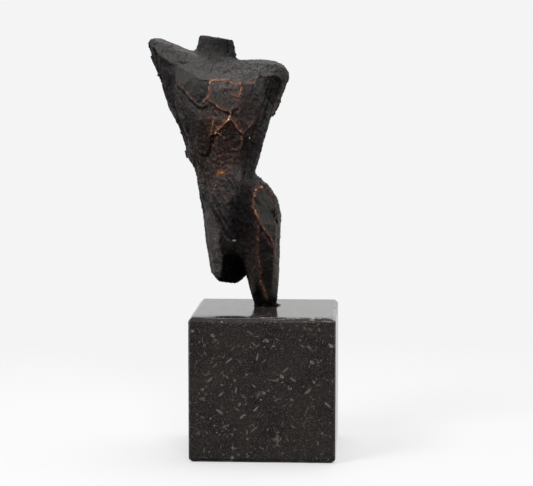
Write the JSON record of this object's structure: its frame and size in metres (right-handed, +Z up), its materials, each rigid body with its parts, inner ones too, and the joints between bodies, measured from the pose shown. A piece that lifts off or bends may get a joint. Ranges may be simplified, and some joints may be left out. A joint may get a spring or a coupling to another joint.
{
  "type": "bronze torso sculpture on a stone plinth",
  "caption": "Dark patinated bronze figure torso with rough copper-toned ridges, standing on one leg stub on a polished cube of dark fossil stone.",
  "frame": {"origin": "middle of the plinth's underside", "axes": "+Z up, figure faces -Y, +X towards the standing leg"},
  "size_m": [0.133, 0.1, 0.2899],
  "materials": {
    "bronze": "dark brown patina, waxed, rubbed to copper on the ridges",
    "stone": "dark fossil limestone, honed sides, polished top"
  },
  "bodies": {
    "root": {"torso": "bronze", "plinth": "stone"}
  },
  "joints": []
}
